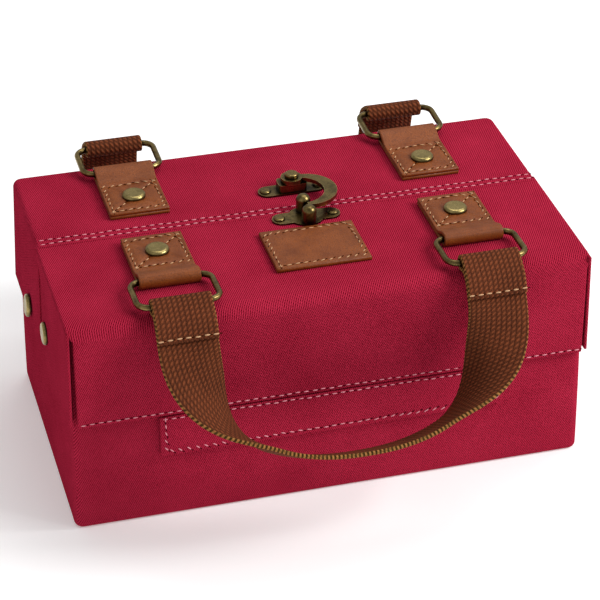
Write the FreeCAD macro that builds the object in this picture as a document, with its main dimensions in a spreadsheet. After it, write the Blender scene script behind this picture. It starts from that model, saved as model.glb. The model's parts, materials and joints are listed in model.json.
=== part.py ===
"""Hard-sided fabric lunch box with a flap lid, a swing clasp and two webbing handles.

Millimetres, +Z up. The front flap faces -Y and the origin is the middle of the base.
"""
import FreeCAD, Part
import math
import os
import re

from FreeCAD import Placement, Rotation, Vector

SIZES = {
    # Overall form of the covered box.
    "total_height": 127, "front_reach": 82.5, "rear_reach": 82.5, "hem_height": 67,
    "clearance": 0.3, "panel": 2.6, "panel_edge": 5, "trim_offset": 2,
    # Tub: walls of covered board that lean in towards the rim.
    "tub_base_width": 284.6, "tub_rim_width": 279, "tub_wall": 6, "tub_floor": 4,
    "tub_front_base": 80, "tub_front_rim": 77.5, "tub_rear_base": 77, "tub_rear_rim": 76,
    "tub_corner": 5, "base_edge": 3, "board": 3, "lining": 1.5, "rebate_depth": 4,
    # Fixed hood over the rear half.
    "wing_flare": 6, "hood_wall": 3, "hood_edge": 3,
    # Fold line between the lid and the hood.
    "hinge_offset": 8, "fold_gap": 0.4, "band_depth": 16, "band": 2, "liner_margin": 9, "liner": 2.2,
    # Closing tongue below the flap, with its touch fastener.
    "tongue_width": 190, "tongue_drop": 26, "tongue": 2, "strip_width": 84, "strip_height": 15, "strip": 0.55,
    # Leather tabs and their rivets.
    "tab_offset": 83, "tab_width": 33, "leather": 2, "tab_back": 13.5, "bar_reach": 59, "rivet_reach": 30,
    "cap": 13, "cap_height": 2.2, "cap_round": 1.8, "shank": 4, "fit": 0.1,
    "patch_width": 52, "patch_depth": 39, "patch": 2.5, "patch_back": 24,
    # Rings.
    "wire": 3.4, "ring_width": 47, "ring_span": 27, "ring_corner": 6.3, "ring_play": 0.35,
    "front_tilt": 2, "rear_tilt": 2,
    # Webbing handles.
    "webbing": 2.4, "webbing_width": 32, "strap_bend": 14, "strap_tail": 6.5, "strap_drop": 71,
    "strap_power": 2.3, "twist_end": 0.62, "stitch_draw": 0.1,
    "front_lead": 0.5, "front_lean": 28, "rear_lead": 0.5, "rear_lean": 14,
    # Side rivets through the hood wings.
    "side_rivet_height": 77, "side_rivet_rear": 27, "side_rivet_front": -3.5,
    # Swing clasp.
    "clasp_offset": 6, "clasp_length": 38, "clasp_width": 11, "clasp_plate": 1.2, "pivot_reach": 20,
    "post_reach": 11, "pillar": 8, "pillar_height": 11, "pillar_round": 3.4, "slot_width": 4.6, "strike_pad": 19.6,
    "hook_low": 6.2, "hook": 2.4, "hook_width": 2.8, "cheek": 4.4, "tip": 3, "hub": 12, "pivot": 4.6, "pivot_cap": 7.4,
    "bracket_length": 16, "bracket_width": 9.4, "bracket_corner": 2,
    "ear_hole": 15, "ear_cap": 6, "ear_cap_height": 1.2, "ear_cap_round": 1,
}

doc = FreeCAD.newDocument("LunchBox")
sheet = doc.addObject("Spreadsheet::Sheet", "Sizes")
for row, (alias, number) in enumerate(SIZES.items(), 1):
    sheet.set(f"A{row}", alias)
    sheet.set(f"B{row}", str(number))
    sheet.setAlias(f"B{row}", alias)
doc.recompute()

NODES = []


def formula(text):
    """Point every size word of an expression at its cell."""
    return re.sub(r"[a-z][a-z_]+", lambda m: "Sizes." + m[0] if m[0] in SIZES else m[0], str(text))


def size(name):
    return float(sheet.get(name))


def bind(item, **expressions):
    for prop, text in expressions.items():
        item.setExpression(prop, formula(text))
    return item


def place(item, x, y, z, turn=Rotation()):
    item.Placement = Placement(Vector(), turn)
    for axis, text in zip("xyz", (x, y, z)):
        item.setExpression("Placement.Base." + axis, formula(text))
    return item


def node(item, label):
    item.Label = label
    NODES.append(item)
    return item


def block(x, y, z):
    """A box between two limits on each axis."""
    item = doc.addObject("Part::Box", "Block")
    for prop, (low, high) in zip(("Length", "Width", "Height"), (x, y, z)):
        item.setExpression(prop, formula(f"({high}) - ({low})"))
    return place(item, x[0], y[0], z[0])


AXES = {
    "X": Rotation(Vector(0, 0, 1), Vector(1, 0, 0)),
    "Y": Rotation(Vector(0, 0, 1), Vector(0, 1, 0)),
    "Z": Rotation(),
}


def rod(radius, length, x, y, z, axis="Z"):
    item = doc.addObject("Part::Cylinder", "Rod")
    bind(item, Radius=radius, Height=length)
    return place(item, x, y, z, AXES[axis])


def cut(base, tool):
    item = doc.addObject("Part::Cut", "Cut")
    item.Base = base
    item.Tool = tool
    return item


def fuse(*pieces):
    item = doc.addObject("Part::MultiFuse", "Fuse")
    item.Shapes = list(pieces)
    return item


def group(*pieces):
    item = doc.addObject("Part::Compound", "Group")
    item.Links = list(pieces)
    return item


def rounded(base, *choices):
    """Fillet the edges that each test picks, at that test's radius."""
    doc.recompute()
    item = doc.addObject("Part::Fillet", "Rounded")
    item.Base = base
    picked = []
    for test, radius in choices:
        for index, edge in enumerate(base.Shape.Edges, 1):
            if test(edge.BoundBox, edge.CenterOfMass):
                picked.append((index, size(radius), size(radius)))
    item.Edges = picked
    return item


def tapered(low_x, high_x, low_y, high_y, low, high):
    """A box whose foot (low_x, low_y) and head (high_x, high_y) differ; each is a pair of limits."""
    item = doc.addObject("Part::Wedge", "Tapered")
    names = ("Xmin", "Xmax", "X2min", "X2max")
    for prop, text in zip(names, (*low_x, *high_x)):
        item.setExpression(prop, formula(text))
    # The wedge rises along its own Y, so standing it up turns its Z to face the front.
    depth = (f"-({low_y[1]})", f"-({low_y[0]})", f"-({high_y[1]})", f"-({high_y[0]})")
    for prop, text in zip(("Zmin", "Zmax", "Z2min", "Z2max"), depth):
        item.setExpression(prop, formula(text))
    bind(item, Ymin=low, Ymax=high)
    item.Placement = Placement(Vector(), Rotation(Vector(1, 0, 0), 90))
    return item


def pair(text):
    """Limits that lie evenly about the middle."""
    return f"-({text}) / 2", f"({text}) / 2"


def upright(box, middle):
    return box.ZLength > box.XLength and box.ZLength > box.YLength


def on_base(box, middle):
    return box.ZMax < 1e-3


RIM = "(total_height - panel - clearance)"
HEM_WIDTH = "(tub_rim_width + 2 * wing_flare)"


def tub_section(inset, height):
    """Limits of the tub's outer faces at a height, moved in by an inset."""
    part = f"({height}) / {RIM}"
    wide = f"(tub_base_width + (tub_rim_width - tub_base_width) * {part} - 2 * ({inset}))"
    front = f"(-tub_front_base + (tub_front_base - tub_front_rim) * {part} + {inset})"
    rear = f"(tub_rear_base + (tub_rear_rim - tub_rear_base) * {part} - ({inset}))"
    return pair(wide), (front, rear)


def tub_form(inset, low, high):
    low_x, low_y = tub_section(inset, low)
    high_x, high_y = tub_section(inset, high)
    return tapered(low_x, high_x, low_y, high_y, low, high)


def tub_hollow(inset, low):
    """A space inside the tub with rounded corners, open at the rim."""
    return rounded(tub_form(inset, low, f"{RIM} + panel"), (upright, "tub_wall"))


def build_tub():
    outer = rounded(tub_form("0", "0", RIM), (upright, "tub_corner"), (on_base, "base_edge"))
    shell = cut(outer, tub_hollow("tub_wall", "tub_floor"))
    for side in (-1, 1):
        edge = f"{side} * (tub_rim_width / 2 - rebate_depth)"
        far = f"{side} * tub_base_width"
        limits = (edge, far) if side > 0 else (far, edge)
        rebate = block(limits, ("hinge_offset", "2 * rear_reach"), ("hem_height - clearance", "total_height"))
        shell = cut(shell, rebate)
    node(shell, "tub_shell")

    play = "tub_wall + clearance"
    board = tub_form(play, "tub_floor", "tub_floor + board")
    node(rounded(board, (upright, "tub_wall")), "base_board")

    floor = "tub_floor + board"
    skin = rounded(tub_form(play, floor, f"{RIM} - clearance"), (upright, "tub_wall"))
    hollow = tub_form(play + " + lining", floor + " + lining", f"{RIM} + panel")
    node(cut(skin, rounded(hollow, (upright, "tub_wall"))), "tub_lining")


def build_hood():
    top = "tub_rim_width"
    near = "hinge_offset + fold_gap"
    outer = tapered(pair(HEM_WIDTH), pair(top), (near, "rear_reach"), (near, "rear_reach"),
                    "hem_height", "total_height")

    def crown(box, middle):
        return abs(middle.z - size("total_height")) < 1e-3 and middle.y > size("hinge_offset") + 1

    def rear_corner(box, middle):
        return box.ZLength > 1 and middle.y > size("rear_reach") - 1

    outer = rounded(outer, (crown, "hood_edge"), (rear_corner, "panel_edge"))
    wall = "2 * hood_wall"
    back = "rear_reach - hood_wall"
    inner = tapered(pair(f"{HEM_WIDTH} - {wall}"), pair(f"{top} - {wall}"), ("0", back), ("0", back),
                    "hem_height", "total_height - panel")
    below = block(pair(f"{HEM_WIDTH} - {wall}"), ("0", back), ("0", "hem_height"))
    node(cut(cut(outer, inner), below), "rear_hood")

    middle = "hinge_offset"
    width = "(tub_rim_width - 2 * rebate_depth - 2 * tub_wall)"
    limits = (f"{middle} - band_depth / 2", f"{middle} + band_depth / 2")
    node(block(pair(width), limits, (f"{RIM} - band", RIM)), "hinge_band")


def build_lid():
    end = "hinge_offset - fold_gap"
    outer = block(pair("tub_rim_width"), ("-front_reach", end), ("hem_height", "total_height"))

    def front_top(box, middle):
        return middle.y < 1 - size("front_reach") and abs(middle.z - size("total_height")) < 1e-3

    outer = rounded(outer, (front_top, "panel_edge"))
    hollow = block(pair("tub_rim_width + panel"), ("panel - front_reach", "hinge_offset + panel"),
                   ("hem_height - panel", "total_height - panel"))
    node(cut(outer, rounded(hollow, (inner_fold, "panel"))), "lid_cover")

    margin = "tub_wall + lining + liner_margin"
    width = f"(tub_rim_width - 2 * ({margin}))"
    limits = (f"-tub_front_rim + {margin}", "hinge_offset - band_depth / 2 - clearance")
    node(block(pair(width), limits, ("total_height - panel - liner", "total_height - panel")), "lid_liner")


def inner_fold(box, middle):
    """The hidden edge where the lid's top and flap meet."""
    front = size("panel") - size("front_reach")
    return abs(middle.y - front) < 1e-3 and abs(middle.z - size("total_height") + size("panel")) < 1e-3


AXIS_Y = "(-front_reach + tongue / 2)"
AXIS_Z = "(hem_height - clearance - tongue / 2)"


def build_tongue():
    faces = ("-front_reach", "-front_reach + tongue")
    tip = "hem_height - tongue_drop"
    leaf = block(pair("tongue_width"), faces, (tip, AXIS_Z))

    def low_corner(box, middle):
        return box.YLength > size("tongue") / 2 and box.XLength < 1 and middle.z < size("hem_height") - 9

    leaf = rounded(leaf, (low_corner, "panel_edge"))
    roll = rod("tongue / 2", "tongue_width", "-tongue_width / 2", AXIS_Y, AXIS_Z, "X")
    node(fuse(leaf, roll), "tongue_flap")

    low = "hem_height - tongue_drop + panel_edge"
    limits = (low, low + " + strip_height")
    inside = "-front_reach + tongue"
    node(block(pair("strip_width"), (inside, inside + " + strip"), limits), "hook_strip")

    lean = math.degrees(math.atan2(size("tub_front_base") - size("tub_front_rim"), doc_rim()))
    strip = block(pair("strip_width"), ("0", "strip"), ("0", "strip_height"))
    face = tub_section("0", low)[1][0]
    place(strip, "-strip_width / 2", f"{face} - strip", low, Rotation(Vector(1, 0, 0), -lean))
    node(strip, "loop_strip")


def doc_rim():
    return size("total_height") - size("panel") - size("clearance")


def rivet(x, y, foot, stem, head="cap", height="cap_height", curve="cap_round"):
    """A domed cap on a shank that stands on foot and is stem long under the cap."""
    dome = rod(f"{head} / 2", height, x, y, f"{foot} + {stem}")

    def top_edge(box, middle):
        return box.ZLength < 1e-3 and middle.z > dome.Shape.BoundBox.ZMax - 1e-3

    dome = rounded(dome, (top_edge, curve))
    return fuse(dome, rod("shank / 2", stem, x, y, foot))


def shank_hole(x, y, low, high):
    return rod("shank / 2 + fit", f"{high} - ({low})", x, y, low)


LOOP = "(wire / 2 + ring_play + leather)"
BAR_Z = f"(total_height + {LOOP})"
ENDS = (("front", -1), ("rear", 1))
SIDES = (("left", -1), ("right", 1))


def out(way, reach):
    """A place on the top, measured from the fold towards the front or the rear."""
    return f"(hinge_offset + {way} * ({reach}))"


def build_tabs():
    for end, way in ENDS:
        rivets = []
        for side, hand in SIDES:
            x = f"(trim_offset + {hand} * tab_offset)"
            limits = (out(way, "tab_back"), out(way, "bar_reach"))
            limits = limits if way > 0 else limits[::-1]
            span = (f"{x} - tab_width / 2", f"{x} + tab_width / 2")
            layers = block(span, limits, ("total_height", "total_height + 2 * leather"))
            loop = rod(LOOP, "tab_width", span[0], out(way, "bar_reach"), BAR_Z, "X")
            hole = rod(f"{LOOP} - leather", "tab_width", span[0], out(way, "bar_reach"), BAR_Z, "X")
            spot = (x, out(way, "rivet_reach"))
            tab = cut(cut(fuse(layers, loop), hole), shank_hole(*spot, "total_height", "total_height + 3 * leather"))
            node(tab, f"{end}_{side}_tab")
            rivets.append(rivet(*spot, "total_height", "2 * leather"))
        node(group(*rivets), f"{end}_tab_rivets")


def quarter(x, y, turn):
    item = doc.addObject("Part::Torus", "Bend")
    bind(item, Radius1="ring_corner", Radius2="wire / 2")
    item.Angle3 = 90
    return place(item, x, y, "0", Rotation(Vector(0, 0, 1), turn))


def ring():
    """A round wire rectangle: the near bar lies on X, the far bar at -Y."""
    half = "((ring_width - wire) / 2)"
    straight = f"({half} - ring_corner)"
    far = "(ring_corner - ring_span)"
    pieces = [
        rod("wire / 2", f"2 * {straight}", f"-{straight}", "0", "0", "X"),
        rod("wire / 2", f"2 * {straight}", f"-{straight}", "-ring_span", "0", "X"),
    ]
    for hand in (-1, 1):
        pieces.append(rod("wire / 2", "ring_span - 2 * ring_corner", f"{hand} * {half}", far, "0", "Y"))
    corners = ((1, "-ring_corner", 0), (-1, "-ring_corner", 90), (-1, far, 180), (1, far, 270))
    for hand, y, turn in corners:
        pieces.append(quarter(f"{hand} * {straight}", y, turn))
    return fuse(*pieces)


def build_rings():
    for end, way in ENDS:
        facing = Rotation(Vector(0, 0, 1), 0 if way < 0 else 180)
        tilt = Rotation(Vector(1, 0, 0), -size(f"{end}_tilt"))
        for side, hand in SIDES:
            item = place(ring(), f"trim_offset + {hand} * tab_offset", out(way, "bar_reach"), BAR_Z, facing * tilt)
            node(item, f"{end}_{side}_ring")


def strap_frame(end, way):
    """Bar centre, end of the doubled webbing, and the hang's own directions."""
    lean = math.radians(size(f"{end}_lean"))
    tilt = math.radians(size(f"{end}_tilt"))
    loop = size("wire") / 2 + size("ring_play") + size("leather")
    bar = Vector(0, size("hinge_offset") + way * (size("bar_reach") + size("ring_span") * math.cos(tilt)),
                 size("total_height") + loop + size("ring_span") * math.sin(tilt))
    down = Vector(0, way * math.sin(lean), -math.cos(lean))
    outward = Vector(0, way * math.cos(lean), math.sin(lean))
    ahead = Vector(0, way, 0)
    hub = bar + ahead * size(f"{end}_lead") - Vector(0, 0, size("strap_bend"))
    return bar, hub, ahead, down, outward


def doubled_end(end, way, hand):
    """The webbing folded round the ring: a loop, then two layers that bend over the edge."""
    bar, hub, ahead, down, outward = strap_frame(end, way)
    thick = size("webbing")
    bend = size("strap_bend")
    up = Vector(0, 0, 1)
    middle = (up + outward).normalize()
    tail = down * size("strap_tail")
    inner, outer = bend - thick, bend + thick
    corners = [bar - up * thick, hub + up * inner, hub + outward * inner, hub + outward * inner + tail,
               hub + outward * outer + tail, hub + outward * outer, hub + up * outer, bar + up * thick]
    edges = [
        Part.makeLine(corners[0], corners[1]),
        Part.Arc(corners[1], hub + middle * inner, corners[2]).toShape(),
        Part.makeLine(corners[2], corners[3]),
        Part.makeLine(corners[3], corners[4]),
        Part.makeLine(corners[4], corners[5]),
        Part.Arc(corners[5], hub + middle * outer, corners[6]).toShape(),
        Part.makeLine(corners[6], corners[7]),
        Part.makeLine(corners[7], corners[0]),
    ]
    width = Vector(size("webbing_width"), 0, 0)
    start = Vector(size("trim_offset") + hand * size("tab_offset") - size("webbing_width") / 2, 0, 0)
    layers = Part.Face(Part.Wire(edges)).extrude(width)
    hole = size("wire") / 2 + size("ring_play")
    loop = Part.makeCylinder(hole + thick, width.x, bar, Vector(1, 0, 0))
    bore = Part.makeCylinder(hole, width.x, bar, Vector(1, 0, 0))
    solid = layers.fuse(loop).cut(bore)
    solid.translate(start)
    return solid


HALF_STATIONS = 9
FINE = 400


def hang_stations():
    """Even steps along half of the hanging U, as (sideways, downward) shares of its reach."""
    power = 2 / size("strap_power")
    fine = []
    for step in range(FINE + 1):
        angle = math.pi / 2 * step / FINE
        fine.append((math.cos(angle) ** power, math.sin(angle) ** power))
    fine[-1] = (0.0, 1.0)
    wide, drop = size("tab_offset"), size("strap_drop")
    run = [0.0]
    for before, after in zip(fine, fine[1:]):
        run.append(run[-1] + math.hypot((after[0] - before[0]) * wide, (after[1] - before[1]) * drop))
    stations = []
    for step in range(HALF_STATIONS + 1):
        goal = run[-1] * step / HALF_STATIONS
        index = min(range(len(run)), key=lambda i: abs(run[i] - goal))
        ahead, behind = fine[min(index + 1, FINE)], fine[max(index - 1, 0)]
        slope = ((ahead[0] - behind[0]) * wide, (ahead[1] - behind[1]) * drop)
        stations.append((step / HALF_STATIONS, fine[index], slope))
    return stations


def hanging_webbing(end, way):
    """One layer of webbing hanging as a U, which turns edge-on by its lowest point."""
    bar, hub, ahead, down, outward = strap_frame(end, way)
    thick, width = size("webbing"), size("webbing_width")
    # The hanging layer is a hair smaller than the doubled end that it comes out of.
    high, broad = thick / 2 - size("stitch_draw"), width / 2 - size("stitch_draw")
    origin = hub + outward * (size("strap_bend") - thick / 2) + down * (size("strap_tail") - thick)
    half = []
    for share, (wide, drop), slope in hang_stations():
        centre = origin + Vector(wide * size("tab_offset"), 0, 0) + down * (drop * size("strap_drop"))
        length = math.hypot(*slope)
        across = Vector(slope[1] / length, 0, 0) - down * (slope[0] / length)
        turned = min(share / size("twist_end"), 1)
        twist = math.pi / 2 * turned * turned * (3 - 2 * turned)
        breadth = across * math.cos(twist) + outward * math.sin(twist)
        face = outward * math.cos(twist) - across * math.sin(twist)
        half.append((centre, breadth, face))

    def flip(vector):
        return Vector(-vector.x, vector.y, vector.z)

    whole = half + [tuple(flip(v) for v in station) for station in half[-2::-1]]
    sections = []
    for centre, breadth, face in whole:
        points = []
        for a, b in ((1, 1), (1, -1), (-1, -1), (-1, 1)):
            points.append(centre + breadth * (a * broad) + face * (b * high))
        sections.append(Part.makePolygon(points + points[:1]))
    webbing = Part.makeLoft(sections, True, True)
    webbing.translate(Vector(size("trim_offset"), 0, 0))
    return webbing


def build_straps():
    for end, way in ENDS:
        solid = hanging_webbing(end, way)
        for side, hand in SIDES:
            solid = solid.fuse(doubled_end(end, way, hand))
        item = doc.addObject("Part::Feature", "Webbing")
        item.Shape = solid.removeSplitter()
        item.Placement = Placement()
        node(item, f"{end}_strap")


def build_patch():
    x = "trim_offset"
    plate = block((f"{x} - patch_width / 2", f"{x} + patch_width / 2"),
                  (out(-1, "patch_back + patch_depth"), out(-1, "patch_back")),
                  ("total_height", "total_height + patch"))
    node(rounded(plate, (upright_thin, "patch")), "label_patch")


def upright_thin(box, middle):
    return box.XLength < 1e-3 and box.YLength < 1e-3


def side_rivets():
    """Four caps on the flared wings and the walls beside them, each turned to its wall's slope."""
    flare = math.degrees(math.atan2(size("wing_flare"), size("total_height") - size("hem_height")))
    lean = math.degrees(math.atan2((size("tub_base_width") - size("tub_rim_width")) / 2, doc_rim()))
    wing = f"{HEM_WIDTH} / 2 - wing_flare * (side_rivet_height - hem_height) / (total_height - hem_height)"
    wall = f"{tub_section('0', 'side_rivet_height')[0][1]}"
    caps = []
    for hand in (-1, 1):
        for spot, face, slope in (("side_rivet_rear", wing, flare), ("side_rivet_front", wall, lean)):
            disc = rod("cap / 2", "cap_height", "0", "0", "0")
            cap = rounded(disc, (cap_rim, "cap_round"))
            turn = Rotation(Vector(0, 1, 0), hand * (90 - slope))
            caps.append(place(cap, f"{hand} * ({face})", spot, "side_rivet_height", turn))
    node(group(*caps), "side_rivets")


def cap_rim(box, middle):
    return box.ZLength < 1e-3 and middle.z > 1e-3


def clasp_leaf(y, centre_hole):
    """A stadium plate with a hole at each ear."""
    reach = "(clasp_length - clasp_width) / 2"
    low, high = "total_height", "total_height + clasp_plate"
    leaf = block((f"clasp_offset - {reach}", f"clasp_offset + {reach}"),
                 (f"{y} - clasp_width / 2", f"{y} + clasp_width / 2"), (low, high))
    ends = [rod("clasp_width / 2", "clasp_plate", f"clasp_offset + {hand} * {reach}", y, low) for hand in (-1, 1)]
    leaf = fuse(leaf, *ends)
    for hand in (-1, 1):
        leaf = cut(leaf, shank_hole(f"clasp_offset + {hand} * ear_hole", y, low, high))
    if centre_hole:
        leaf = cut(leaf, rod("pivot / 2 + fit", "clasp_plate", "clasp_offset", y, low))
    return leaf


def ear_rivets(y):
    caps = []
    for hand in (-1, 1):
        caps.append(rivet(f"clasp_offset + {hand} * ear_hole", y, "total_height", "clasp_plate",
                          "ear_cap", "ear_cap_height", "ear_cap_round"))
    return group(*caps)


def build_clasp():
    pivot_y = out(1, "pivot_reach")
    post_y = out(-1, "post_reach")
    top = "(total_height + clasp_plate)"
    bracket = block(("clasp_offset - bracket_length / 2", "clasp_offset + bracket_length / 2"),
                    (f"{pivot_y} - bracket_width / 2", f"{pivot_y} + bracket_width / 2"),
                    (top, "total_height + hook_low - clearance"))
    boss = cut(rounded(bracket, (upright_edge, "bracket_corner")),
               rod("pivot / 2 + fit", "hook_low", "clasp_offset", pivot_y, top))
    node(fuse(clasp_leaf(pivot_y, True), boss), "clasp_base_plate")
    node(ear_rivets(pivot_y), "clasp_base_rivets")

    pin_height = "hook_low + hook + clearance"
    pin = rod("pivot / 2", pin_height, "clasp_offset", pivot_y, "total_height")
    cap = rod("pivot_cap / 2", "cap_height", "clasp_offset", pivot_y, f"total_height + {pin_height}")
    node(fuse(pin, rounded(cap, (highest_rim(cap), "ear_cap_round"))), "clasp_pivot")

    pad = rod("strike_pad / 2", "clasp_plate", "clasp_offset", post_y, "total_height")
    pillars = []
    for way in (-1, 1):
        y = f"({post_y} + {way} * (slot_width + pillar) / 2)"
        pillar = rod("pillar / 2", "pillar_height", "clasp_offset", y, "total_height")
        pillars.append(rounded(pillar, (highest_rim(pillar), "pillar_round")))
    node(fuse(clasp_leaf(post_y, False), pad, *pillars), "clasp_strike_post")
    node(ear_rivets(post_y), "clasp_strike_rivets")
    build_hook(pivot_y, post_y)


def upright_edge(box, middle):
    return box.XLength < 1e-3 and box.YLength < 1e-3


def highest_rim(item):
    def test(box, middle):
        return box.ZLength < 1e-3 and middle.z > item.Shape.BoundBox.ZMax - 1e-3
    return test


def build_hook(pivot_y, post_y):
    """A C-shaped arm from the pivot round the right-hand side, whose tip lies between the pillars."""
    low = "total_height + hook_low"
    radius = "((pivot_reach + post_reach) / 2)"
    middle = f"({pivot_y} - {radius})"
    outer = f"{radius} + hook_width / 2"
    disc = fuse(rod(outer, "hook", "clasp_offset", middle, low),
                rod(outer, "hook", "clasp_offset + cheek", middle, low))
    arc = cut(disc, rod(f"{radius} - hook_width / 2", "hook", "clasp_offset", middle, low))
    left = "clasp_offset - pivot_reach - post_reach"
    open_side = block((left, "clasp_offset + pillar / 2 - tip"), (f"{post_y} - hook_width", middle),
                      (low, low + " + hook"))
    back_side = block((left, "clasp_offset"), (middle, f"{pivot_y} + hook_width"), (low, low + " + hook"))
    hub = rod("hub / 2", "hook", "clasp_offset", pivot_y, low)
    arm = cut(cut(arc, open_side), back_side)
    bore = rod("pivot / 2 + fit", "hook", "clasp_offset", pivot_y, low)
    node(cut(fuse(arm, hub), bore), "clasp_hook")


def check_and_write():
    doc.recompute()
    for item in doc.Objects:
        if {"Invalid", "Error"} & set(item.State):
            raise RuntimeError(f"{item.Name} did not build: {item.State}")
    os.makedirs("parts", exist_ok=True)
    for item in NODES:
        if item.Shape.isNull() or not item.Shape.isValid():
            raise RuntimeError(f"{item.Label} is not a valid shape")
        box = item.Shape.BoundBox
        print(f"{item.Label}: {len(item.Shape.Solids)} solid(s), {item.Shape.Volume:.0f} mm3, "
              f"y {box.YMin:.1f}..{box.YMax:.1f}, z {box.ZMin:.1f}..{box.ZMax:.1f}")
    for item in NODES:
        item.Shape.exportStep(f"parts/{item.Label}.step")


build_tub()
build_hood()
build_lid()
build_tongue()
build_tabs()
build_rings()
build_straps()
build_patch()
side_rivets()
build_clasp()
check_and_write()
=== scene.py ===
# %% [markdown]
# A red lunch box in covered board, with leather tabs, webbing handles and antique brass fittings.
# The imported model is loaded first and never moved. Every soft piece is modelled here in its place,
# and the metal pieces keep their shape and get a finish.

# %% Load the frame
import json
import math
import bmesh
import bpy
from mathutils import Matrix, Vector, noise


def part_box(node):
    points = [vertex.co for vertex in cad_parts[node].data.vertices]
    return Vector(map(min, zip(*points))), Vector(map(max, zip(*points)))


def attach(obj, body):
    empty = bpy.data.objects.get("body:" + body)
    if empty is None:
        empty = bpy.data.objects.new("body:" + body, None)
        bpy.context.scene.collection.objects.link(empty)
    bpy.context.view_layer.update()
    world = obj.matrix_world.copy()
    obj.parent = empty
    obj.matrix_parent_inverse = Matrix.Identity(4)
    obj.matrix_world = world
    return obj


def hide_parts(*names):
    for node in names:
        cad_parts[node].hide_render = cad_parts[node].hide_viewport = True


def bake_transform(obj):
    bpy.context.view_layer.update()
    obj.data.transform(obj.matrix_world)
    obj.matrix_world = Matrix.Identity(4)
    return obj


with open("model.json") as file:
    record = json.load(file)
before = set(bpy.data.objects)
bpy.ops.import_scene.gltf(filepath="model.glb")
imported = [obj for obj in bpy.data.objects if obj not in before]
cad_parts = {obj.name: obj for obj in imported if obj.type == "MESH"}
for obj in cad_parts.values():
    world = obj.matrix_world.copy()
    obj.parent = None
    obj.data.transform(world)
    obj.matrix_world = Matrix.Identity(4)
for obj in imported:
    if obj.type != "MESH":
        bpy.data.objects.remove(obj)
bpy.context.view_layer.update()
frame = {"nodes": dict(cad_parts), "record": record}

MM = 0.001
JOINTS = {joint["name"]: joint for joint in frame["record"]["behaviour"]["joints"]}


def limits(node):
    """A node's box as three (low, high) pairs in millimetres."""
    low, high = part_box(node)
    return [(a / MM, b / MM) for a, b in zip(low, high)]


def at(joint):
    """A joint's place in millimetres."""
    return Vector(JOINTS[joint]["pos_m"]) / MM


LID_X, LID_Y, (HEM, TOP) = limits("lid_cover")
FOLD = at("lid_hinge").y
print("lid", LID_X, LID_Y, "hem", HEM, "top", TOP, "fold", FOLD)

# %% [markdown]
# A finish is a small web of shader nodes. Linking each Math node by hand hides the idea behind it, so one
# class wraps a socket, and plain operators on it add the Math nodes.


# %% Shader arithmetic
class Wire:
    """A shader socket that can be used in sums."""

    def __init__(self, web, socket):
        self.web = web
        self.socket = socket

    def math(self, operation, first, second=None):
        values = {0: first} if second is None else {0: first, 1: second}
        return self.web.node("ShaderNodeMath", {"operation": operation}, values)

    def __add__(self, other):
        return self.math("ADD", self, other)

    def __radd__(self, other):
        return self.math("ADD", other, self)

    def __sub__(self, other):
        return self.math("SUBTRACT", self, other)

    def __rsub__(self, other):
        return self.math("SUBTRACT", other, self)

    def __mul__(self, other):
        return self.math("MULTIPLY", self, other)

    def __rmul__(self, other):
        return self.math("MULTIPLY", other, self)

    def sine(self):
        return self.math("SINE", self)

    def remainder(self):
        return self.math("FRACT", self)

    def clamp(self, low, high):
        """Spread low..high over 0..1 and hold it there."""
        values = {"Value": self, "From Min": low, "From Max": high}
        return self.web.node("ShaderNodeMapRange", {"clamp": True}, values)


# %% [markdown]
# The second class holds a material. Its one general method adds any other node: the kind, then its
# settings, then the values or wires of its sockets. Colours go through Mix, because Math turns them grey.


# %% Materials
class Finish:
    """A material and the nodes in it."""

    def __init__(self, name):
        self.material = bpy.data.materials.new(name)
        self.material.use_nodes = True
        self.tree = self.material.node_tree
        self.shader = self.tree.nodes["Principled BSDF"]

    def node(self, kind, settings=None, values=None, output=0):
        item = self.tree.nodes.new(kind)
        for key, value in (settings or {}).items():
            setattr(item, key, value)
        for key, value in (values or {}).items():
            self.feed(item.inputs[key], value)
        return Wire(self, item.outputs[output])

    def feed(self, socket, value):
        if isinstance(value, Wire):
            self.tree.links.new(value.socket, socket)
        else:
            socket.default_value = value

    def set(self, **values):
        for key, value in values.items():
            self.feed(self.shader.inputs[key.replace("_", " ")], value)

    def mix(self, factor, first, second):
        """Blend two colours, each a colour or a wire."""
        item = self.tree.nodes.new("ShaderNodeMix")
        item.data_type = "RGBA"
        sockets = (item.inputs[0], item.inputs[6], item.inputs[7])
        for socket, value in zip(sockets, (factor, first, second)):
            self.feed(socket, value)
        return Wire(self, item.outputs[2])

    def place(self):
        return self.node("ShaderNodeTexCoord", output="Object")

    def along(self):
        """Sewn length and breadth, in millimetres, from the piece's own UV map."""
        split = self.node("ShaderNodeSeparateXYZ", values={0: self.node("ShaderNodeUVMap")})
        across = Wire(self, split.socket.node.outputs[1])
        return split * (1 / MM), across * (1 / MM)

    def grain(self, scale, detail=3.0, rough=0.55):
        values = {"Vector": self.place(), "Scale": scale, "Detail": detail, "Roughness": rough}
        return self.node("ShaderNodeTexNoise", values=values)

    def bump(self, height, depth):
        """Raise the surface by a height of 0 to 1; depth is in millimetres."""
        values = {"Height": height, "Distance": depth * MM, "Strength": 1.0}
        self.set(Normal=self.node("ShaderNodeBump", values=values))

    def done(self):
        print(self.material.name, len(self.tree.nodes), "nodes")
        return self.material


def colour(red, green, blue):
    """A display colour of 0 to 255, in the linear light that shaders use."""
    channels = []
    for value in (red, green, blue):
        value /= 255
        channels.append(value / 12.92 if value <= 0.04045 else ((value + 0.055) / 1.055) ** 2.4)
    return (*channels, 1.0)


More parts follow.
